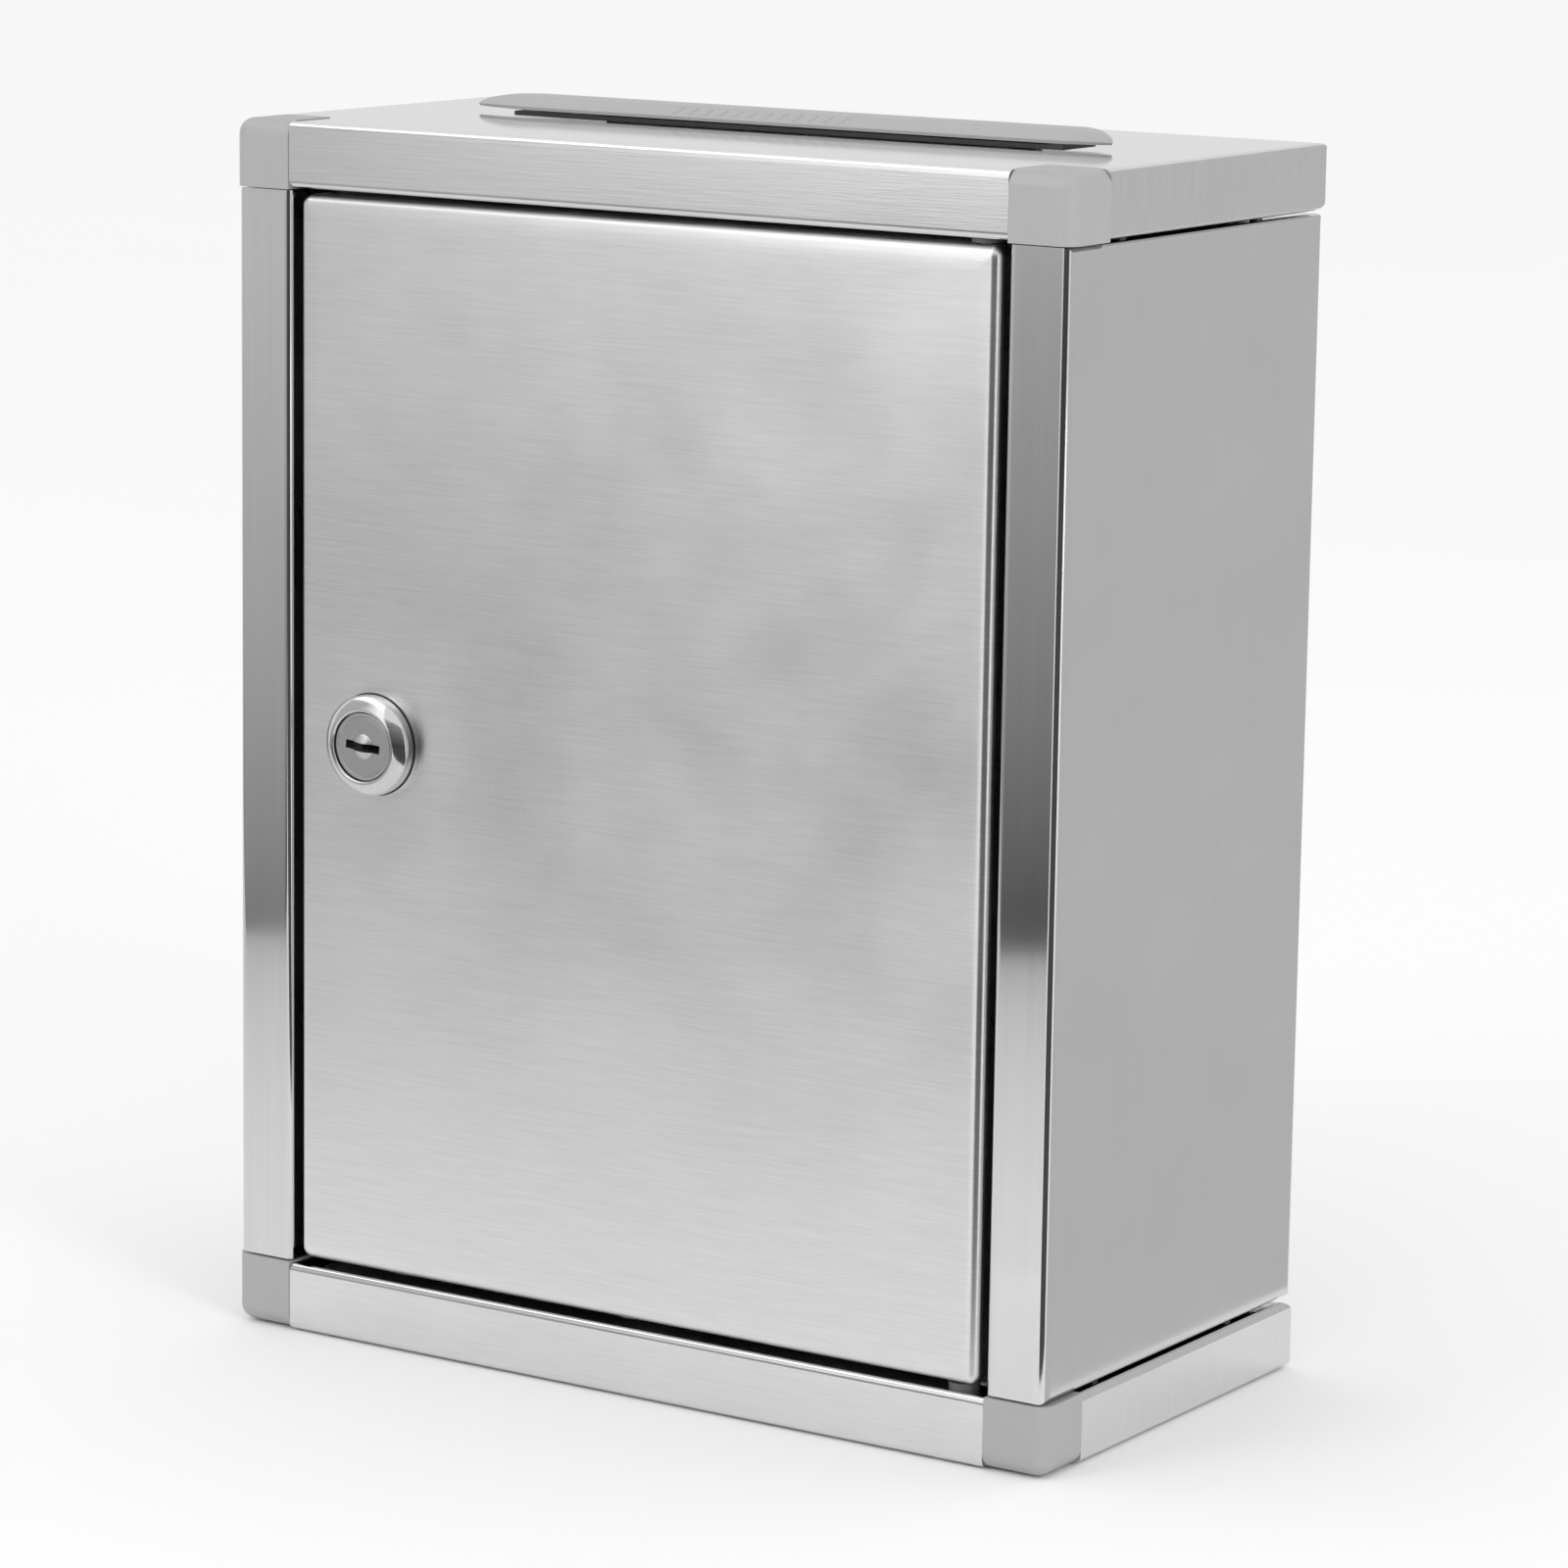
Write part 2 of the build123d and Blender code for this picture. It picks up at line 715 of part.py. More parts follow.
nodes = {
    "top_tray": top_tray(),
    "bottom_tray": bottom_tray(),
    "left_side_panel": across_the_middle(side_panel()),
    "right_side_panel": side_panel(),
    "door_stop": door_stop(),
    "back_panel": back_panel(),
    "top_left_cap": across_the_middle(top_cap()),
    "top_right_cap": top_cap(),
    "bottom_left_cap": across_the_middle(bottom_cap()),
    "bottom_right_cap": bottom_cap(),
    "top_tray_rivets": top_tray_rivets(),
    "bottom_tray_rivets": bottom_tray_rivets(),
    "top_hinge_pin": hinge_pin(
        (top_lip_z + sheet, top_lip_z + sheet + hinge_head),
        (door_high - hinge_pin_reach, top_lip_z + sheet),
    ),
    "bottom_hinge_pin": hinge_pin(
        (bottom_lip_z - sheet - hinge_head, bottom_lip_z - sheet),
        (bottom_lip_z - sheet, door_low + hinge_pin_reach),
    ),
    "top_hinge_washer": hinge_washer((door_high + body_clearance, top_lip_z)),
    "bottom_hinge_washer": hinge_washer((bottom_lip_z, door_low - body_clearance)),
    "door_bumpers": door_bumpers(),
    "slot_frame": slot_frame(),
    "flap_hinge_pin": flap_hinge_pin(),
    "door_panel": door_panel(),
    "top_pivot_plate": pivot_plate((door_return_high - pivot_plate_thickness, door_return_high)),
    "bottom_pivot_plate": pivot_plate((door_return_low, door_return_low + pivot_plate_thickness)),
    "lock_bezel": lock_bezel(),
    "lock_housing": lock_housing(),
    "lock_washer": lock_washer(),
    "lock_nut": lock_nut(),
    "lock_plug": lock_plug(),
    "lock_wafers": lock_wafers(),
    "lock_cam": lock_cam(),
    "cam_screw": cam_screw(),
    "slot_flap": slot_flap(),
}

os.makedirs("parts", exist_ok=True)
for name, shape in nodes.items():
    export_step(shape, f"parts/{name}.step")
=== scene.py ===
import math

import bpy
from mathutils import Matrix, Vector


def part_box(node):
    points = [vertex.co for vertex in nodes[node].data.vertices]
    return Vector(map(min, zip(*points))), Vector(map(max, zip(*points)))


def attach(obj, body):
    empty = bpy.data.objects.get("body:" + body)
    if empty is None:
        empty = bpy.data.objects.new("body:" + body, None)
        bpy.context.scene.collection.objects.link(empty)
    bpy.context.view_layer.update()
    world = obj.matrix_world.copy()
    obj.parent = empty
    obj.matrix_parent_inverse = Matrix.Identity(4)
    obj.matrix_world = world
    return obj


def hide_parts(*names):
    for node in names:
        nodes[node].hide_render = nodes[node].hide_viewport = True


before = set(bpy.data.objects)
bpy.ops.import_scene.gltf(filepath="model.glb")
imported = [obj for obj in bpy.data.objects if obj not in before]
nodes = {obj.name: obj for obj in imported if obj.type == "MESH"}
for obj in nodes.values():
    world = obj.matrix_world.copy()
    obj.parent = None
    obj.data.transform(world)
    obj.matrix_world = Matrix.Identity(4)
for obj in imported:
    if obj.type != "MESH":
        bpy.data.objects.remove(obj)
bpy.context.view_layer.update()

scene = bpy.context.scene
mm = 0.001


# ---------------------------------------------------------------- studio
# A pale table top inside a white tent. The camera looks down a little from the right of the door.
# Area lights light the plastics, and cards that only mirrors see give the steel something to
# reflect: the dark far edge of the table, a grey wall and a bright upper window.

def linear(code):
    """sRGB hex, such as '8fa0b0', as a linear colour with alpha."""
    channels = [int(code[i:i + 2], 16) / 255 for i in (0, 2, 4)]
    straight = [c / 12.92 if c <= 0.04045 else ((c + 0.055) / 1.055) ** 2.4 for c in channels]
    return (*straight, 1.0)


def add(tree, kind, inputs=None, **settings):
    """Adds a node, gives it its settings, and sets or links its inputs."""
    made = tree.nodes.new(kind)
    for name, value in settings.items():
        setattr(made, name, value)
    for name, value in (inputs or {}).items():
        if isinstance(value, bpy.types.NodeSocket):
            tree.links.new(value, made.inputs[name])
        else:
            made.inputs[name].default_value = value
    return made


def empty_material(name):
    material = bpy.data.materials.new(name)
    material.use_nodes = True
    material.node_tree.nodes.clear()
    return material, material.node_tree


scene.view_settings.view_transform = "Standard"

camera_place = Vector((0.8459, -1.2896, 0.4370))
azimuth, pitch, roll = (math.radians(angle) for angle in (33.10, 10.53, 0.83))
ahead = Vector((-math.sin(azimuth) * math.cos(pitch), math.cos(azimuth) * math.cos(pitch), -math.sin(pitch)))
level = Vector((math.cos(azimuth), math.sin(azimuth), 0))
above = level.cross(ahead)
right = level * math.cos(roll) + above * math.sin(roll)
up = above * math.cos(roll) - level * math.sin(roll)
lens = bpy.data.cameras.new("camera")
lens.lens = 138.3
lens.sensor_width = 36
lens.clip_start = 0.05
lens.clip_end = 60
camera = bpy.data.objects.new("camera", lens)
camera.matrix_world = Matrix.Translation(camera_place) @ Matrix((right, up, -ahead)).transposed().to_4x4()
scene.collection.objects.link(camera)
scene.camera = camera

tent = bpy.data.worlds.new("white_tent")
tent.use_nodes = True
tent.node_tree.nodes["Background"].inputs["Color"].default_value = (1, 1, 1, 1)
tent.node_tree.nodes["Background"].inputs["Strength"].default_value = 1.0
scene.world = tent

floor_size = 24
floor_drop = -0.0005        # just under the box, so that the two never share a plane
bpy.ops.object.select_all(action="DESELECT")
bpy.ops.mesh.primitive_plane_add(size=floor_size, location=(0, 0, floor_drop))
floor = bpy.context.active_object
floor.name = "floor"
# Pale laminate: nearly white, with faint patches about 25 mm across that keep it from looking flat.
table_paint, tree = empty_material("pale_table_top")
speckle = add(tree, "ShaderNodeTexNoise", {"Scale": 40.0, "Detail": 3.0})
tone = add(tree, "ShaderNodeMapRange", {"Value": speckle.outputs["Fac"], "To Min": 0.91, "To Max": 0.94})
matt = add(tree, "ShaderNodeBsdfDiffuse", {"Color": tone.outputs["Result"]})
add(tree, "ShaderNodeOutputMaterial", {"Surface": matt.outputs["BSDF"]})
floor.data.materials.append(table_paint)


def softbox(name, place, size, radiance, mirrored_too=True):
    """Rectangular area light, aimed at the middle of the box, equally bright whatever its size."""
    light = bpy.data.lights.new(name, "AREA")
    light.shape = "RECTANGLE"
    light.size, light.size_y = size
    light.energy = radiance * math.pi * size[0] * size[1]
    lamp = bpy.data.objects.new(name, light)
    lamp.location = place
    lamp.visible_glossy = mirrored_too
    lamp.rotation_euler = (Vector((0, 0, 0.16)) - Vector(place)).to_track_quat("-Z", "Y").to_euler()
    scene.collection.objects.link(lamp)


softbox("front_softbox", (-0.62, -1.5, 1.15), (0.6, 0.8), 2.4)
softbox("right_softbox", (1.9, -0.9, 0.8), (0.5, 1.3), 4.8, mirrored_too=False)


def card(name, corners, columns, low, high, bend=1.0):
    """Card that glows with a grey that runs across between two columns and up from low to high."""
    bpy.ops.object.select_all(action="DESELECT")
    bpy.ops.mesh.primitive_plane_add(size=1)
    made = bpy.context.active_object
    made.name = name
    for vertex, corner in zip(made.data.vertices, corners):
        vertex.co = corner
    paint, tree = empty_material(name + "_glow")
    place = add(tree, "ShaderNodeTexCoord")
    split = add(tree, "ShaderNodeSeparateXYZ", {"Vector": place.outputs["UV"]})
    rise = add(tree, "ShaderNodeMath", {0: split.outputs["Y"], 1: bend}, operation="POWER")
    span = {"Value": split.outputs["X"], "From Min": columns[0], "From Max": columns[1]}
    foot = add(tree, "ShaderNodeMapRange", {**span, "To Min": low[0], "To Max": low[1]})
    head = add(tree, "ShaderNodeMapRange", {**span, "To Min": high[0], "To Max": high[1]})
    grey = add(tree, "ShaderNodeMapRange", {
        "Value": rise.outputs["Value"], "To Min": foot.outputs["Result"], "To Max": head.outputs["Result"]})
    glow = add(tree, "ShaderNodeEmission", {"Strength": grey.outputs["Result"]})
    add(tree, "ShaderNodeOutputMaterial", {"Surface": glow.outputs["Emission"]})
    made.data.materials.append(paint)
    made.visible_camera = False
    made.visible_diffuse = False
    made.visible_shadow = False
    made.visible_transmission = False


def upright(start, end, low_z, high_z):
    return [(*start, low_z), (*end, low_z), (*start, high_z), (*end, high_z)]


def lying(near_left, near_right, far_left, far_right):
    return [(*corner, 0.0) for corner in (near_left, near_right, far_left, far_right)]


# Left of the camera, what the door, pillars and trays mirror from the front.
edge_left, edge_right = (-1.00, -0.113), (-0.043, -0.670)
mirrored = (0.606, 0.843)      # the columns of the table edge that the left and right pillars mirror
card("dark_table_edge", upright(edge_left, edge_right, 0.001, 0.26), mirrored, (0.20, 0.0), (0.66, 0.50), 0.6)
card("upper_window", upright(edge_left, edge_right, 0.26, 0.8), mirrored, (0.60, 1.25), (0.60, 1.5))
card("top_window", upright(edge_left, edge_right, 0.8, 1.7), mirrored, (1.9, 1.9), (1.9, 1.9))
card("table_sheen", lying(edge_left, edge_right, (-0.748, 0.319), (0.112, -0.290)), mirrored,
     (0.50, 0.45), (0.93, 0.93), 0.4)
# Behind on the right, what the right side mirrors: an even grey.
even = (0.59, 0.59)
card("grey_wall", upright((1.20, -0.45), (0.10, 1.10), 0.001, 0.9), (0, 1), even, even)
card("grey_table", lying((0.163, -0.08), (1.20, -0.45), (0.163, 1.10), (1.20, 1.10)), (0, 1), even, even)
# Behind the box, what the top plate mirrors.
card("back_wall", upright((-2.2, 0.9), (0.4, 2.6), 0.2, 1.8), (0, 1), (0.78, 0.78), (0.86, 0.86))
# Around the camera, a dark room that only rounded corners and the lock mirror.
card("dark_table", lying((0.125, -0.15), (0.220, -0.130), (-0.05, -2.08), (1.82, -1.29)), (0, 1),
     (0.08, 0.08), (0.08, 0.08))
card("dark_room", upright((-0.05, -2.08), (1.82, -1.29), 0.0, 1.4), (0, 1), (0.05, 0.05), (0.36, 0.36))


# ---------------------------------------------------------------- trays
# The top and bottom trays are 0.8 mm austenitic stainless sheet, folded into shallow pans.
# The sheet has a hairline finish that runs from left to right, so on the folded-down ends
# the same lines run up and down.

def fold_grain(tree, place):
    """1 where a face looks forwards or back, and 0 elsewhere, so that lines can turn at a fold."""
    split = add(tree, "ShaderNodeSeparateXYZ", {"Vector": place.outputs["Normal"]})
    size = add(tree, "ShaderNodeMath", {0: split.outputs["Y"]}, operation="ABSOLUTE")
    steep = add(tree, "ShaderNodeMath", {0: size.outputs["Value"], 1: 0.5}, operation="GREATER_THAN")
    return steep.outputs["Value"]


def hairline_steel(name, shade, roughness, blur, streaks, contrast, anisotropy, across, ripple,
                   calm=None, polish=None):
    """Brushed or rolled stainless sheet: fine lines, cloudy handling marks and a slight ripple.

    streaks is the size of a line along each axis, and across the way that it spreads reflections;
    streaks and across may each be a function that gives them by place. So may calm, which fades
    the lines, and polish, which takes down the blur.
    """
    material, tree = empty_material(name)
    place = add(tree, "ShaderNodeTexCoord")
    if callable(streaks):
        stretched = streaks(tree, place)
    else:
        scaled = {0: place.outputs["Object"], 1: [1 / size for size in streaks]}
        stretched = add(tree, "ShaderNodeVectorMath", scaled, operation="MULTIPLY").outputs["Vector"]
    lines = add(tree, "ShaderNodeTexNoise", {
        "Vector": stretched, "Scale": 1.0, "Detail": 2.5, "Roughness": 0.6})
    # Clouds of handling about 45 mm across, and ripples in the sheet about 110 mm long.
    haze = add(tree, "ShaderNodeTexNoise", {
        "Vector": place.outputs["Object"], "Scale": 22.0, "Detail": 3.0, "Roughness": 0.55})
    wave = add(tree, "ShaderNodeTexNoise", {"Vector": place.outputs["Object"], "Scale": 9.0, "Detail": 1.0})
    clouds = {"Value": haze.outputs["Fac"], "From Min": 0.3, "From Max": 0.7}
    matt = add(tree, "ShaderNodeMapRange", {
        **clouds, "To Min": roughness - blur, "To Max": roughness + blur})
    calmed = add(tree, "ShaderNodeMath", {
        0: matt.outputs["Result"], 1: polish(tree, place) if polish else 1.0}, operation="MULTIPLY")
    centred = add(tree, "ShaderNodeMath", {0: lines.outputs["Fac"], 1: 0.5}, operation="SUBTRACT")
    strength = add(tree, "ShaderNodeMath", {
        0: contrast, 1: calm(tree, place) if calm else 1.0}, operation="MULTIPLY")
    swing = add(tree, "ShaderNodeMath", {
        0: centred.outputs["Value"], 1: strength.outputs["Value"]}, operation="MULTIPLY")
    # Without a swing this gives the shade itself, and with one of 0.2 it gives twice that or none.
    hair = add(tree, "ShaderNodeMapRange", {
        "Value": swing.outputs["Value"], "From Min": -0.2, "From Max": 0.2,
        "To Min": 0.0, "To Max": 2 * linear(shade)[0]})
    film = add(tree, "ShaderNodeMapRange", {**clouds, "To Min": 0.975, "To Max": 1.02})
    tone = add(tree, "ShaderNodeMath", {
        0: hair.outputs["Result"], 1: film.outputs["Result"]}, operation="MULTIPLY")
    brushed = add(tree, "ShaderNodeBump", {
        "Height": swing.outputs["Value"], "Strength": 1.0, "Distance": 0.25 * mm})
    rippled = add(tree, "ShaderNodeBump", {
        "Height": wave.outputs["Fac"], "Strength": 1.0, "Distance": ripple,
        "Normal": brushed.outputs["Normal"]})
    spread = add(tree, "ShaderNodeVectorTransform", {
        "Vector": across(tree, place) if callable(across) else across},
        vector_type="VECTOR", convert_from="OBJECT", convert_to="WORLD")
    steel = add(tree, "ShaderNodeBsdfPrincipled", {
        "Base Color": tone.outputs["Value"], "Metallic": 1.0, "Roughness": calmed.outputs["Value"],
        "Anisotropic": anisotropy, "Normal": rippled.outputs["Normal"], "Tangent": spread.outputs["Vector"]})
    add(tree, "ShaderNodeOutputMaterial", {"Surface": steel.outputs["BSDF"]})
    return material


line_length = 14 * mm
line_width = 0.33 * mm      # real lines are about 0.08 mm wide; coarser ones still show


def tray_streaks(tree, place):
    """Lines along X on the top and front, and along Z on the folded-down ends."""
    front = fold_grain(tree, place)
    split = add(tree, "ShaderNodeSeparateXYZ", {"Vector": place.outputs["Object"]})
    rate = add(tree, "ShaderNodeMapRange", {
        "Value": front, "To Min": 1 / line_length, "To Max": 1 / line_width})
    rise = add(tree, "ShaderNodeMath", {
        0: split.outputs["Z"], 1: rate.outputs["Result"]}, operation="MULTIPLY")
    run = add(tree, "ShaderNodeMath", {0: split.outputs["X"], 1: 1 / line_length}, operation="MULTIPLY")
    depth = add(tree, "ShaderNodeMath", {0: split.outputs["Y"], 1: 1 / line_width}, operation="MULTIPLY")
    return add(tree, "ShaderNodeCombineXYZ", {
        "X": run.outputs["Value"], "Y": depth.outputs["Value"], "Z": rise.outputs["Value"]}).outputs["Vector"]


def tray_across(tree, place):
    """Direction across the lines: up on the front, and front to back on the top and ends."""
    front = fold_grain(tree, place)
    rest = add(tree, "ShaderNodeMath", {0: 1.0, 1: front}, operation="SUBTRACT")
    return add(tree, "ShaderNodeCombineXYZ", {
        "X": 0.0, "Y": rest.outputs["Value"], "Z": front}).outputs["Vector"]


def tray_calm(tree, place):
    """The flat plates keep more of their mill shine than the folded edges."""
    split = add(tree, "ShaderNodeSeparateXYZ", {"Vector": place.outputs["Normal"]})
    size = add(tree, "ShaderNodeMath", {0: split.outputs["Z"]}, operation="ABSOLUTE")
    return add(tree, "ShaderNodeMapRange", {
        "Value": size.outputs["Value"], "From Min": 0.5, "From Max": 1.0, "To Min": 1.0, "To Max": 0.32,
    }).outputs["Result"]


# Hairline-brushed 304 stainless: soft reflections, drawn out across the lines.
tray_steel = hairline_steel("hairline_304_stainless_folded", "dedede", 0.14, 0.03, tray_streaks, 0.045, 0.6,
                            tray_across, 0.10 * mm, tray_calm, tray_calm)


def dress(material, *names):
    """Gives CAD nodes their finish."""
    for name in names:
        nodes[name].data.materials.clear()
        nodes[name].data.materials.append(material)


dress(tray_steel, "top_tray", "bottom_tray")


# ---------------------------------------------------------------- side panels, back and door stop
# Bright annealed stainless, left as it came from the mill, with a faint grain up and down.
# Each side is one sheet that folds round to the front as a pillar. The back panel and the
# door stop are spot-welded inside.

def pillar_only(tree, place):
    """Streaks show on the pillars, where the sheet was bent, and hardly at all on the sides."""
    front = fold_grain(tree, place)
    return add(tree, "ShaderNodeMapRange", {"Value": front, "To Min": 0.3, "To Max": 1.0}).outputs["Result"]


# Bright annealed stainless: near-mirror, a little streaked by the rolls.
mill_streaks = (1.6 * mm, 1.6 * mm, 90 * mm)
panel_steel = hairline_steel("bright_annealed_stainless", "dadada", 0.085, 0.02, mill_streaks, 0.02, 0.35,
                             (1, 1, 0), 0.07 * mm, pillar_only)
dress(panel_steel, "left_side_panel", "right_side_panel", "back_panel", "door_stop",
      "top_pivot_plate", "bottom_pivot_plate")


# ---------------------------------------------------------------- rivets
# Blind rivets of plain aluminium that join each tray's lip to the flanges of the side and back
# panels. They are out of sight while the door is shut.

def dull_metal(name, shade, roughness, pit):
    """Plain or plated metal with a fine grain; pit is the size of its marks in metres."""
    material, tree = empty_material(name)
    place = add(tree, "ShaderNodeTexCoord")
    marks = add(tree, "ShaderNodeTexNoise", {
        "Vector": place.outputs["Object"], "Scale": 1 / pit, "Detail": 3.0})
    contrast = {"Value": marks.outputs["Fac"], "From Min": 0.3, "From Max": 0.7}
    matt = add(tree, "ShaderNodeMapRange", {**contrast, "To Min": roughness * 0.8, "To Max": roughness * 1.2})
    light = linear(shade)
    dark = [channel * 0.86 for channel in light[:3]] + [1.0]
    tone = add(tree, "ShaderNodeMix", {"Factor": marks.outputs["Fac"]}, data_type="RGBA")
    tone.inputs[6].default_value = dark
    tone.inputs[7].default_value = light
    bump = add(tree, "ShaderNodeBump", {
        "Height": marks.outputs["Fac"], "Strength": 0.12, "Distance": 0.1 * mm})
    metal = add(tree, "ShaderNodeBsdfPrincipled", {
        "Base Color": tone.outputs[2], "Metallic": 1.0, "Roughness": matt.outputs["Result"],
        "Normal": bump.outputs["Normal"]})
    add(tree, "ShaderNodeOutputMaterial", {"Surface": metal.outputs["BSDF"]})
    return material


# Aluminium, its pale grey darkened as painted shade for the shadowed gap that the heads sit in.
rivet_aluminium = dull_metal("aluminium_rivet_painted_shade", "8f9092", 0.45, 1.5 * mm)
dress(rivet_aluminium, "top_tray_rivets", "bottom_tray_rivets")


# ---------------------------------------------------------------- corner caps
# Four hollow mouldings of grey ABS that close the trays' front corners. Each wraps the front,
# the end and the plate with well-rounded edges, and is held by tongues behind the sheet.

def fresh(operator, **settings):
    """A new primitive, alone in the selection, with its place in its mesh."""
    bpy.ops.object.select_all(action="DESELECT")
    operator(**settings)
    bpy.ops.object.transform_apply(location=True, rotation=True, scale=True)
    return bpy.context.active_object


def slab(start, end):
    """Block between two opposite corners."""
    low = Vector([min(pair) for pair in zip(start, end)])
    high = Vector([max(pair) for pair in zip(start, end)])
    return fresh(bpy.ops.mesh.primitive_cube_add, size=1, location=(low + high) / 2, scale=high - low)


def pick(piece, kind, wanted):
    """In edit mode, selects the faces or edges whose middle and direction are wanted."""
    bpy.ops.object.mode_set(mode="EDIT")
    bpy.ops.mesh.select_mode(type=kind)
    bpy.ops.mesh.select_all(action="DESELECT")
    bpy.ops.object.mode_set(mode="OBJECT")
    corners = piece.data.vertices
    if kind == "FACE":
        for face in piece.data.polygons:
            face.select = wanted(face.center, face.normal)
    else:
        for edge in piece.data.edges:
            start, end = (corners[index].co for index in edge.vertices)
            edge.select = wanted((start + end) / 2, (end - start).normalized())
    bpy.ops.object.mode_set(mode="EDIT")


def near(a, b):
    return abs(a - b) < 0.01 * mm


def apply(piece, kind, **settings):
    """Adds a modifier and applies it at once."""
    bpy.ops.object.select_all(action="DESELECT")
    bpy.context.view_layer.objects.active = piece
    piece.select_set(True)
    modifier = piece.modifiers.new("shaping", kind)
    for name, value in settings.items():
        setattr(modifier, name, value)
    bpy.ops.object.modifier_apply(modifier="shaping")


def combine(piece, tool, operation):
    """Cuts, joins or keeps what a second mesh covers, and uses that mesh up."""
    apply(piece, "BOOLEAN", object=tool, operation=operation, solver="EXACT")
    bpy.data.objects.remove(tool)


def soften(piece, width, angle=40, segments=2):
    """Small round on every edge sharper than angle."""
    apply(piece, "BEVEL", width=width, segments=segments, limit_method="ANGLE",
          angle_limit=math.radians(angle), use_clamp_overlap=True)


def shade(piece, angle=35):
    """Smooth shading that keeps flat faces flat."""
    bpy.ops.object.select_all(action="DESELECT")
    bpy.context.view_layer.objects.active = piece
    piece.select_set(True)
    bpy.ops.object.shade_smooth_by_angle(angle=math.radians(angle))
    apply(piece, "WEIGHTED_NORMAL", keep_sharp=True, mode="FACE_AREA_WITH_ANGLE")


def paint(piece, name, material):
    piece.name = name
    piece.data.name = name
    piece.data.materials.clear()
    piece.data.materials.append(material)


def moulded_plastic(name, shade_code, roughness, grit, marks):
    """Moulded plastic: fine texture of the mould, faint flow clouds about 8 mm across, and a sheen.

    grit is the size of the texture in metres, and marks how far the clouds lighten and darken it.
    """
    material, tree = empty_material(name)
    place = add(tree, "ShaderNodeTexCoord")
    texture = add(tree, "ShaderNodeTexNoise", {
        "Vector": place.outputs["Object"], "Scale": 1 / grit, "Detail": 2.0})
    flow = add(tree, "ShaderNodeTexNoise", {
        "Vector": place.outputs["Object"], "Scale": 120.0, "Detail": 4.0})
    contrast = {"Value": flow.outputs["Fac"], "From Min": 0.3, "From Max": 0.7}
    matt = add(tree, "ShaderNodeMapRange", {
        **contrast, "To Min": roughness - 0.05, "To Max": roughness + 0.05})
    tone = add(tree, "ShaderNodeMix", {"Factor": flow.outputs["Fac"]}, data_type="RGBA")
    full = linear(shade_code)
    tone.inputs[6].default_value = [channel * (1 - marks) for channel in full[:3]] + [1.0]
    tone.inputs[7].default_value = [channel * (1 + marks) for channel in full[:3]] + [1.0]
    bump = add(tree, "ShaderNodeBump", {
        "Height": texture.outputs["Fac"], "Strength": 0.15, "Distance": 0.05 * mm})
    plastic = add(tree, "ShaderNodeBsdfPrincipled", {
        "Base Color": tone.outputs[2], "IOR": 1.53, "Roughness": matt.outputs["Result"],
        "Normal": bump.outputs["Normal"]})
    add(tree, "ShaderNodeOutputMaterial", {"Surface": plastic.outputs["BSDF"]})
    return material


# ABS moulded against a satin tool: even light grey with a soft sheen.
cap_plastic = moulded_plastic("satin_moulded_grey_abs", "a2a2a2", 0.42, 0.5 * mm, 0.03)

cap_size = 17.6 * mm
cap_wall = 2.0 * mm
cap_round = 4.2 * mm
cap_edge = 0.3 * mm
tongue_reach = 6.0 * mm
tongue_wall = 1.2 * mm
tongue_inset = 3.4 * mm     # from the cap's top and bottom
tongue_gap = 0.05 * mm      # between a tongue and the sheet in front of it
sheet = 0.8 * mm
tray_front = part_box("top_tray")[0].y


def corner_cap(node, side, plate):
    """side is -1 or 1 for left or right, and plate is -1 or 1 for a plate below or above."""
    low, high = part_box(node)
    outer_x = high.x if side > 0 else low.x
    plate_z = high.z if plate > 0 else low.z
    rim_z = low.z if plate > 0 else high.z
    inner_x = side * (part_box("bottom_tray")[1].x - cap_size)
    rear_y = tray_front + cap_size
    cap = slab((outer_x, low.y, plate_z), (inner_x, rear_y, rim_z))

    def rounded(middle, along):
        on_side, on_front, on_plate = near(middle.x, outer_x), near(middle.y, low.y), near(middle.z, plate_z)
        return (on_side and on_front) or (on_side and on_plate) or (on_front and on_plate)

    pick(cap, "EDGE", rounded)
    bpy.ops.mesh.bevel(offset=cap_round, segments=7, profile=0.5, affect="EDGES")
    pick(cap, "FACE", lambda middle, normal: near(middle.x, inner_x) or near(middle.y, rear_y))
    bpy.ops.mesh.delete(type="FACE")
    bpy.ops.object.mode_set(mode="OBJECT")
    apply(cap, "SOLIDIFY", thickness=cap_wall, offset=-1, use_even_offset=True, use_rim=True)
    tongue_low = low.z + tongue_inset
    tongue_high = high.z - tongue_inset
    tongue_y = tray_front + sheet + tongue_gap
    tongue_x = side * (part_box("bottom_tray")[1].x - sheet - tongue_gap)
    combine(cap, slab((inner_x - side * tongue_reach, tongue_y, tongue_low),
                      (inner_x + side * cap_wall, tongue_y + tongue_wall, tongue_high)), "UNION")
    combine(cap, slab((tongue_x, rear_y - cap_wall, tongue_low),
                      (tongue_x - side * tongue_wall, rear_y + tongue_reach, tongue_high)), "UNION")
    soften(cap, cap_edge)
    shade(cap)
    return cap


for node, side, plate in (("top_left_cap", -1, 1), ("top_right_cap", 1, 1),
                          ("bottom_left_cap", -1, -1), ("bottom_right_cap", 1, -1)):
    cap = corner_cap(node, side, plate)
    paint(cap, node + "_moulding", cap_plastic)
    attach(cap, "cabinet")
    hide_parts(node)


# ---------------------------------------------------------------- door
# A pan of the same 0.8 mm sheet as the trays, brushed from side to side. Its border is pressed
# back a little all round before it rolls over into the returns, and the lock goes through a
# round hole with two flats.

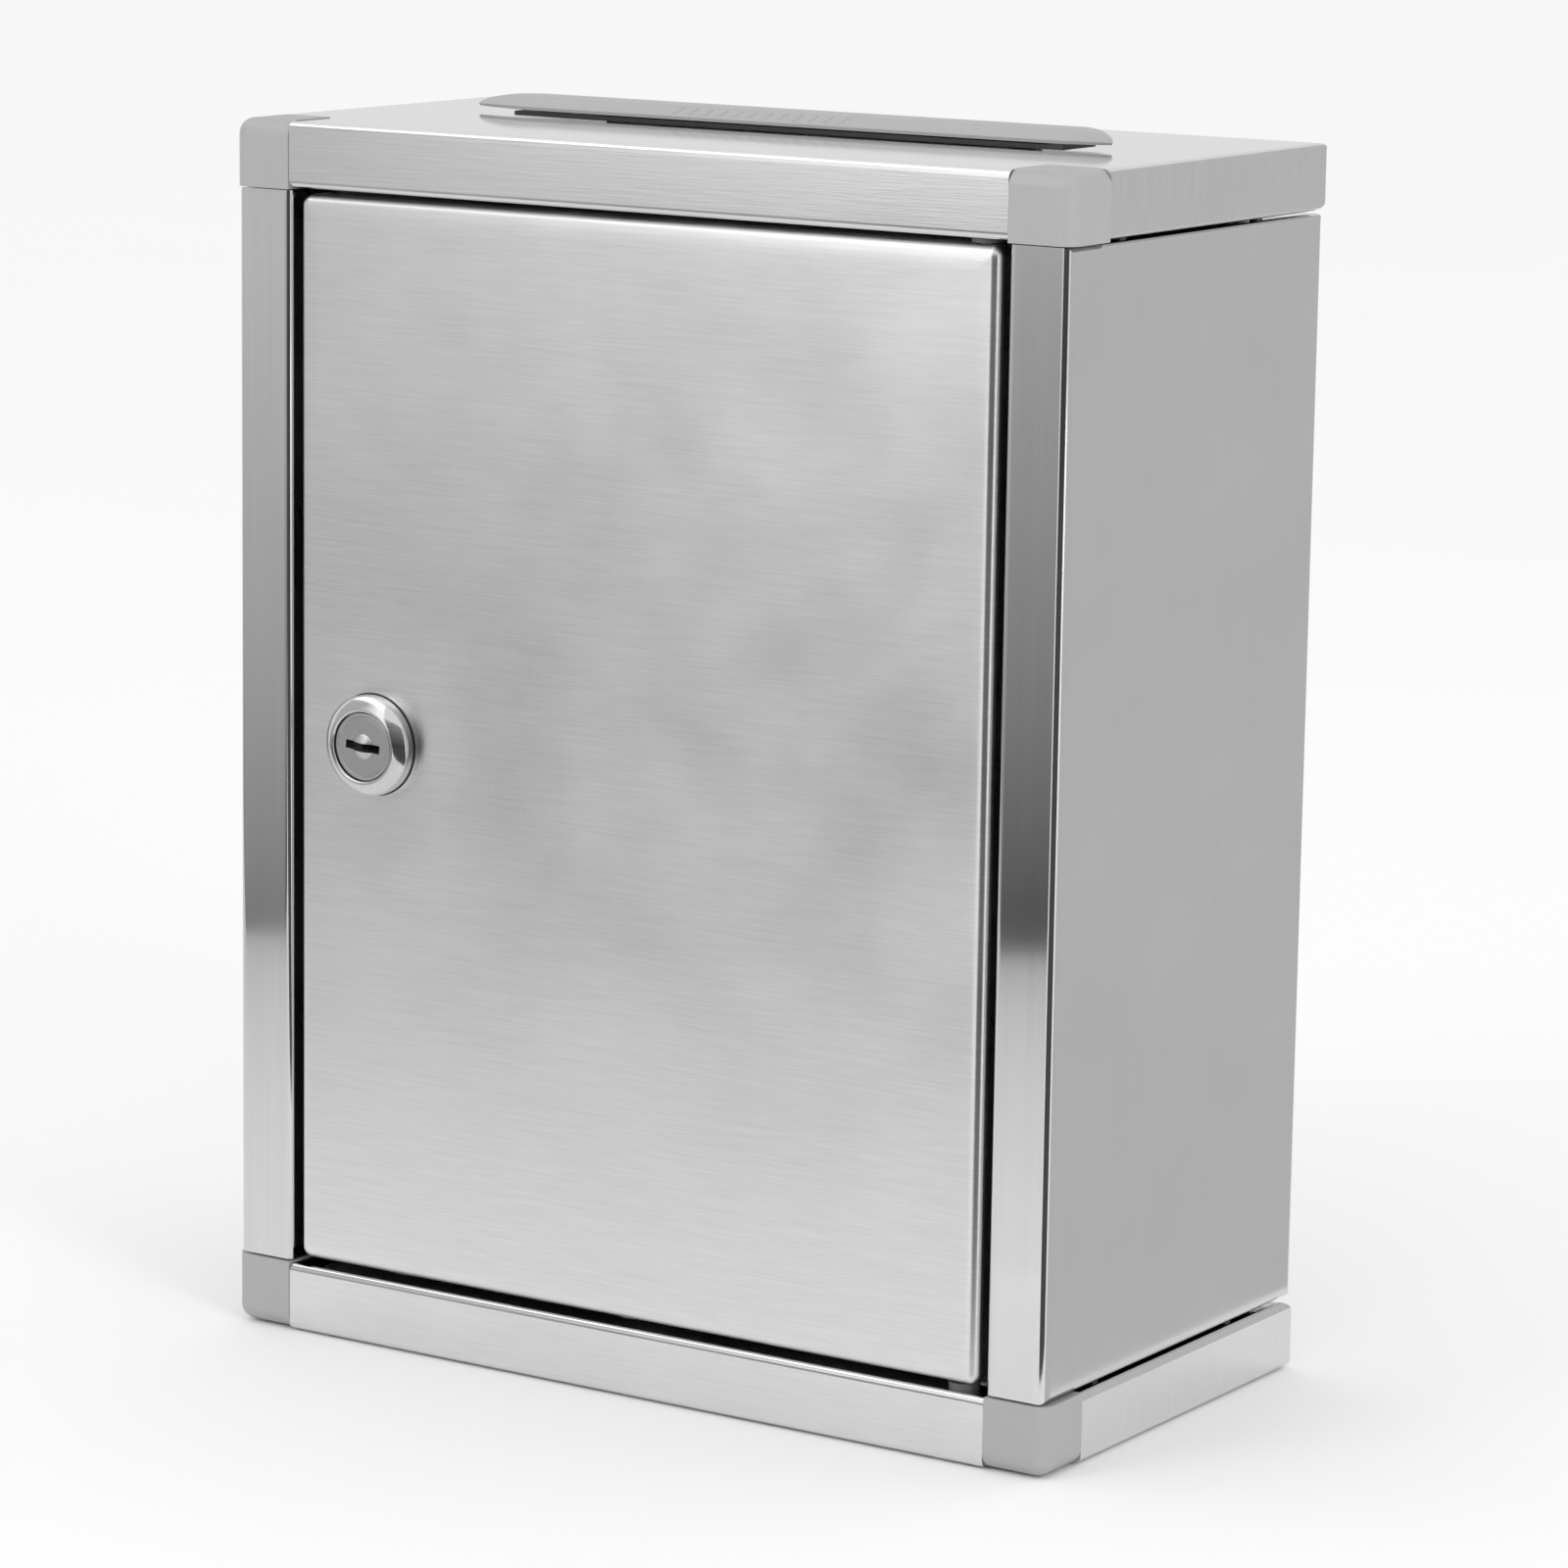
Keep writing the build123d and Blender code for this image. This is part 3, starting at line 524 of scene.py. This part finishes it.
door_low, door_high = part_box("door_panel")
door_roll = 3.0 * mm
border = 4.0 * mm
border_drop = 0.22 * mm
lock_centre = Vector((-80 * mm, door_low.y, 161 * mm))
lock_hole = 9.2 * mm         # radius
lock_flats = 8.4 * mm        # from the lock's axis to each flat
lock_depth = 8 * mm          # of the cut through the sheet
clear = 20 * mm              # wider than the hole, so that only the flats trim it
pin_place = (98.5 * mm, -57.2 * mm)
pin_hole = 2.05 * mm         # radius
pin_depth = 400 * mm         # of the one cut that goes through both returns
face_y = door_low.y + border_drop

door = slab((door_low.x, face_y, door_low.z), door_high)
pick(door, "EDGE", lambda middle, along: abs(along.y) > 0.9 or near(middle.y, face_y))
bpy.ops.mesh.bevel(offset=door_roll, segments=7, profile=0.5, affect="EDGES")
pick(door, "FACE", lambda middle, normal: normal.y < -0.99)
bpy.ops.mesh.inset(thickness=border * 0.4, depth=0)
bpy.ops.mesh.inset(thickness=border * 0.6, depth=border_drop)
pick(door, "FACE", lambda middle, normal: normal.y > 0.99)
bpy.ops.mesh.delete(type="FACE")
bpy.ops.object.mode_set(mode="OBJECT")
apply(door, "SOLIDIFY", thickness=sheet, offset=-1, use_even_offset=True, use_rim=True)
hole = fresh(bpy.ops.mesh.primitive_cylinder_add, vertices=96, radius=lock_hole, depth=lock_depth,
             location=lock_centre, rotation=(math.pi / 2, 0, 0))
reach = Vector((clear, clear, lock_flats))
combine(hole, slab(lock_centre - reach, lock_centre + reach), "INTERSECT")
combine(door, hole, "DIFFERENCE")
combine(door, fresh(bpy.ops.mesh.primitive_cylinder_add, vertices=48, radius=pin_hole, depth=pin_depth,
                    location=(*pin_place, lock_centre.z)), "DIFFERENCE")
shade(door, 30)

# Hairline-brushed 304 stainless, laid flat under the belt: broad soft reflections drawn up and down.
door_steel = hairline_steel("hairline_304_stainless_door", "e6e6e6", 0.30, 0.035,
                            (line_length, line_length, line_width), 0.05, 0.75, (0, 0.2, 1), 0.12 * mm)
paint(door, "door_skin", door_steel)
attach(door, "door")
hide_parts("door_panel")


# ---------------------------------------------------------------- door hinges
# Zinc-plated steel pins, riveted into the two trays, on which the door's returns turn. Moulded
# nylon washers keep the door off the trays. The lock and the flap have pieces of the same steel.

# Zinc-plated mild steel: blue-grey and softly shining.
plated_steel = dull_metal("zinc_plated_steel", "b4b6b8", 0.28, 0.8 * mm)
dress(plated_steel, "top_hinge_pin", "bottom_hinge_pin", "flap_hinge_pin", "lock_washer", "lock_cam",
      "cam_screw")

# Natural nylon, coloured dark grey as painted shade for the gap it sits in.
washer_nylon = moulded_plastic("nylon_washer_painted_shade", "565654", 0.5, 0.4 * mm, 0.05)
dress(washer_nylon, "top_hinge_washer", "bottom_hinge_washer")


# ---------------------------------------------------------------- cam lock
# A standard cam lock: die-cast zinc housing and plug under a pressed and chromed bezel,
# held through the door by a washer and nut, with five brass wafers and a steel cam.

# Satin nickel on die-cast zinc: a fine even matt grey.
satin_zinc = dull_metal("satin_nickel_die_cast_zinc", "c8c8c8", 0.36, 0.35 * mm)
dress(satin_zinc, "lock_housing", "lock_nut")

# Stamped brass, bright but never polished.
wafer_brass = dull_metal("stamped_brass", "c9a45c", 0.3, 0.6 * mm)
dress(wafer_brass, "lock_wafers")

# Sizes of what turns about the lock's axis are in mm, and heights are measured from the door.
bezel_radius = 13.5
head_radius = 10.5
head_proud = 3.8
bezel_bore = 9.1
groove_low = 0.8
groove_high = 1.45
along_lock = (math.pi / 2, 0, 0)


def arc(centre, radius, start, end, steps):
    """Profile points of an arc; angles in degrees outward from the lock's axis."""
    angles = [math.radians(start + (end - start) * step / steps) for step in range(steps + 1)]
    return [(centre[0] + radius * math.sin(angle), centre[1] + radius * math.cos(angle)) for angle in angles]


def turned(profile):
    """Open skin swept about the lock's axis, from (radius, height above the door) in mm."""
    radius, proud = profile[0]
    piece = fresh(bpy.ops.mesh.primitive_circle_add, vertices=128, radius=radius * mm, rotation=along_lock,
                  location=(lock_centre.x, door_low.y - proud * mm, lock_centre.z))
    bpy.ops.object.mode_set(mode="EDIT")
    bpy.ops.mesh.select_mode(type="EDGE")
    bpy.ops.mesh.select_all(action="SELECT")
    for (old, low), (new, high) in zip(profile, profile[1:]):
        bpy.ops.mesh.extrude_region_move(TRANSFORM_OT_translate={"value": (0, (low - high) * mm, 0)})
        bpy.ops.transform.resize(value=(new / old, 1, new / old), center_override=lock_centre)
    return piece


def close(piece):
    """Joins ends that meet, turns every face outward, and leaves edit mode."""
    bpy.ops.mesh.select_all(action="SELECT")
    bpy.ops.mesh.remove_doubles(threshold=0.01 * mm)
    bpy.ops.mesh.normals_make_consistent(inside=False)
    bpy.ops.object.mode_set(mode="OBJECT")


bezel_profile = [(bezel_radius, 0.0), (bezel_radius, 0.75), (13.3, 0.95)]
bezel_profile += [(12.95, 1.0), (12.95, 1.25), (13.2, groove_high)]
bezel_profile += arc((11.6, 3.12), 1.6, 90, 46, 6)
bezel_profile += arc((6.45, -1.85), 8.76, 46, 24, 8)
bezel_profile += arc((9.75, 5.55), 0.65, 24, -90, 12)
bezel_profile += [(bezel_bore, head_proud), (head_radius, head_proud)]
bezel_profile += [(head_radius, 0.0), (bezel_radius, 0.0)]
bezel = turned(bezel_profile)
close(bezel)
shade(bezel, 40)

# Chromed brass pressing: a hard mirror with a few fine scratches.
chrome = dull_metal("chromed_pressing", "d6d6d6", 0.12, 1.2 * mm)
paint(bezel, "lock_bezel_ring", chrome)
# Painted shade in the pressing's groove: a dark material on the groove's faces outlines the ring with a dark
# line.
bezel.data.materials.append(dull_metal("groove_painted_shade", "4a4a4a", 0.5, 0.8 * mm))
for face in bezel.data.polygons:
    if groove_low * mm < door_low.y - face.center.y < groove_high * mm:
        face.material_index = 1
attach(bezel, "door")
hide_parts("lock_bezel")

plug_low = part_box("lock_plug")[0]
barrel_radius = 6.0
face_radius = 8.8
face_low = 4.1
face_top = 5.5
dome_radius = 3.3
dome_height = 1.35
dome_sphere = (dome_radius ** 2 + dome_height ** 2) / (2 * dome_height)
dome_edge = math.degrees(math.asin(dome_radius / dome_sphere))
face_groove = 0.12          # depth of the fine ring near the face's edge
slot_size = (10.8 * mm, 2.2 * mm)
key_way = 8.4 * mm          # width of the way for the key's blade
key_way_depth = 13.5 * mm
slot_tilt = math.radians(4)
barrel_end = 17.0
tail_end = door_low.y + barrel_end * mm
square = 7.0 * mm
cam_depth = 1.8 * mm
overlap = 1 * mm            # how far one shape runs into the next that it joins or cuts
wafer_count = 5
wafer_start = 2.2 * mm
wafer_pitch = 2.4 * mm
pocket_play = 0.05 * mm
pocket_size = Vector((24, 1.0, 6.6)) * mm
screw_hole = 1.9 * mm       # radius
screw_depth = 14 * mm

plug_profile = [(barrel_radius, -barrel_end), (barrel_radius, face_low), (face_radius, face_low)]
plug_profile += arc((face_radius - 0.35, face_top - 0.35), 0.35, 90, 0, 4)
plug_profile += [(7.9, face_top), (7.8, face_top - face_groove)]
plug_profile += [(7.65, face_top - face_groove), (7.55, face_top)]
plug_profile += arc((0, face_top + dome_height - dome_sphere), dome_sphere, dome_edge, 2, 8)
plug = turned(plug_profile)
bpy.ops.mesh.edge_face_add()
pick(plug, "EDGE", lambda middle, along: near(middle.y, tail_end))
bpy.ops.mesh.edge_face_add()
close(plug)
half = Vector((square / 2, 0, square / 2))
combine(plug, slab(Vector((lock_centre.x, tail_end - overlap, lock_centre.z)) - half,
                   Vector((lock_centre.x, tail_end + cam_depth, lock_centre.z)) + half), "UNION")


def key_cut(size, near_y, far_y):
    """Tilted slot for the key, to cut out of the plug."""
    tool = slab((-size[0] / 2, near_y, -size[1] / 2), (size[0] / 2, far_y, size[1] / 2))
    onto_axis = Matrix.Translation((lock_centre.x, 0, lock_centre.z))
    tool.data.transform(onto_axis @ Matrix.Rotation(slot_tilt, 4, "Y"))
    return tool


combine(plug, key_cut(slot_size, plug_low.y - overlap, door_low.y), "DIFFERENCE")
combine(plug, key_cut((key_way, slot_size[1]), door_low.y - overlap, door_low.y + key_way_depth),
        "DIFFERENCE")
for wafer in range(wafer_count):
    pocket_y = door_low.y + wafer_start + wafer * wafer_pitch - pocket_play
    pocket_low = Vector((lock_centre.x - pocket_size.x / 2, pocket_y, lock_centre.z - pocket_size.z / 2))
    combine(plug, slab(pocket_low, pocket_low + pocket_size), "DIFFERENCE")
combine(plug, fresh(bpy.ops.mesh.primitive_cylinder_add, vertices=32, radius=screw_hole, depth=screw_depth,
                    rotation=along_lock, location=(lock_centre.x, tail_end + overlap, lock_centre.z)),
        "DIFFERENCE")
shade(plug, 40)
paint(plug, "lock_plug_core", satin_zinc)
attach(plug, "lock_core")
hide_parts("lock_plug")


# ---------------------------------------------------------------- slot frame
# A moulded black ABS liner that snaps into the tray's slot from above. Its flange covers the
# cut edge of the sheet, and its three lugs hold the flap's pin.

# ABS moulded in a plain tool: black, with a dull shine.
frame_plastic = moulded_plastic("moulded_black_abs", "2e2e30", 0.38, 0.6 * mm, 0.10)
dress(frame_plastic, "slot_frame")


# ---------------------------------------------------------------- flap
# One grey ABS moulding that lies over the slot and lifts on a pin along its back edge. Its
# front slopes up to a crest, and its ends come down to rounded noses. The low ribs in the
# middle of the slope are for the fingertip.

flap_low, flap_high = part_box("slot_flap")
plate_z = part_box("top_tray")[1].z
tip_x = flap_high.x - 0.4 * mm
tip_y = 4.0 * mm
tip_z = plate_z + 1.75 * mm
front_y = flap_low.y + 0.05 * mm
rear_y = flap_high.y - 0.1 * mm
brow_z = plate_z + 1.9 * mm
crest_z = flap_high.z - 0.05 * mm
rear_z = plate_z + 3.4 * mm
nose_start = 86 * mm
rear_start = 82 * mm
taper_start = 66 * mm
slope_end = 0.34         # share of the depth where the front slope meets the level top
level_end = 0.60
slope_share = 0.84       # share of the height that the slope gains
ridge = 0.14 * mm        # raised line along the top of the slope
ridge_width = 0.03       # share of the depth
flap_wall = 0.9 * mm


def quarter(share, power):
    """Rounded fall from 1 at 0 to 0 at 1; power 2 is a quarter of an ellipse."""
    return max(0.0, 1 - min(1.0, share) ** power) ** (1 / power)


def flap_point(x, across):
    """A point of the flap's top; across runs from 0 at the front to 1 at the back."""
    past = max(0.0, abs(x) - nose_start) / (tip_x - nose_start)
    taper = max(0.0, (abs(x) - taper_start) / (tip_x - taper_start))
    front = front_y + (tip_y - front_y) * taper ** 3
    behind = max(0.0, abs(x) - rear_start) / (tip_x - rear_start)
    rear = tip_y + (rear_y - tip_y) * quarter(behind, 1.15)
    brow = brow_z + (tip_z - brow_z) * past ** 2
    height = (crest_z - brow_z - ridge) * quarter(past, 1.8)
    if across < slope_end:
        share = across / slope_end
        z = brow + height * slope_share * (share + 0.25 * share * (1 - share))
    elif across < level_end:
        share = (across - slope_end) / (level_end - slope_end)
        z = brow + height * (slope_share + (1 - slope_share) * math.sin(share * math.pi / 2))
    else:
        share = (across - level_end) / (1 - level_end)
        back = (rear_z - brow_z) * quarter(behind, 1.3)
        z = brow + height + (back - height) * share ** 1.6
    z += ridge * quarter(past, 1.8) * math.exp(-((across - slope_end) / ridge_width) ** 2)
    return Vector((x, front + (rear - front) * across, z))


flap = fresh(bpy.ops.mesh.primitive_grid_add, x_subdivisions=150, y_subdivisions=40, size=2)
for vertex in flap.data.vertices:
    spread = vertex.co.x
    closer = spread + 0.10 * math.sin(math.pi * spread)      # columns stand closer near the tips
    vertex.co = flap_point(tip_x * max(-1.0, min(1.0, closer)), (vertex.co.y + 1) / 2)
bpy.ops.object.mode_set(mode="EDIT")
bpy.ops.mesh.select_all(action="SELECT")
bpy.ops.mesh.remove_doubles(threshold=0.02 * mm)
bpy.ops.object.mode_set(mode="OBJECT")
if sum(face.normal.z * face.area for face in flap.data.polygons) < 0:
    flap.data.flip_normals()
apply(flap, "SOLIDIFY", thickness=flap_wall, offset=-1, use_even_offset=False, use_rim=True)

# Notches in the back edge let the frame's lugs through.
lug_places = (-55 * mm, 0, 55 * mm)
notch_half = 3.3 * mm
notch_front = 18.5 * mm
for lug in lug_places:
    combine(flap, slab((lug - notch_half, notch_front, plate_z - overlap),
                       (lug + notch_half, flap_high.y + overlap, flap_high.z + overlap)), "DIFFERENCE")

# Barrels between the lugs run on the pin.
pin_low, pin_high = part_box("flap_hinge_pin")
pin_centre = (pin_low + pin_high) / 2
hinge_half = 66 * mm
barrel_outside = 1.6 * mm
barrel_wall = 0.75 * mm
barrel_ends = [-hinge_half]
for lug in lug_places:
    barrel_ends += [lug - notch_half, lug + notch_half]
barrel_ends.append(hinge_half)
joined_on = []
for start, end in zip(barrel_ends[::2], barrel_ends[1::2]):
    tube = fresh(bpy.ops.mesh.primitive_cylinder_add, vertices=40, radius=barrel_outside, depth=end - start,
                 end_fill_type="NOTHING", rotation=(0, math.pi / 2, 0),
                 location=((start + end) / 2, pin_centre.y, pin_centre.z))
    apply(tube, "SOLIDIFY", thickness=barrel_wall, offset=-1, use_rim=True)
    joined_on.append(tube)

# Low ribs across the middle of the slope.
rib_count = 12
rib_pitch = 4.6 * mm
rib_start = -33 * mm
rib_size = Vector((1.1, 4.4, 0.9)) * mm
rib_proud = 0.22 * mm
rib_edge = 0.35 * mm
rib_share = 0.52         # how far up the slope their middles lie
rib_middle = flap_point(0, slope_end * rib_share)
slope_angle = math.atan2((crest_z - brow_z) * slope_share, (rear_y - front_y) * slope_end)
for index in range(rib_count):
    rib = slab(-rib_size / 2, rib_size / 2)
    soften(rib, rib_edge, 40, 3)
    rib.rotation_euler.x = slope_angle
    rib.location = rib_middle + Vector((rib_start + index * rib_pitch, 0, rib_proud - rib_size.z / 2))
    joined_on.append(rib)
bpy.ops.object.select_all(action="DESELECT")
for addition in joined_on:
    addition.select_set(True)
flap.select_set(True)
bpy.context.view_layer.objects.active = flap
bpy.ops.object.join()
shade(flap, 50)

# ABS moulded against a satin tool, a touch darker as painted shade, since the top faces up into more light.
flap_plastic = moulded_plastic("flap_abs_painted_shade", "a3a3a3", 0.36, 0.5 * mm, 0.03)
paint(flap, "flap_hood", flap_plastic)
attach(flap, "flap")
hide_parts("slot_flap")


# ---------------------------------------------------------------- door bumpers
# Two moulded rubber dots, stuck to the lip of the door stop with their own adhesive, for the
# door's free edge to close against.

# Moulded natural rubber: black and matt.
bumper_rubber = moulded_plastic("moulded_black_rubber", "1c1c1c", 0.75, 0.5 * mm, 0.10)
dress(bumper_rubber, "door_bumpers")
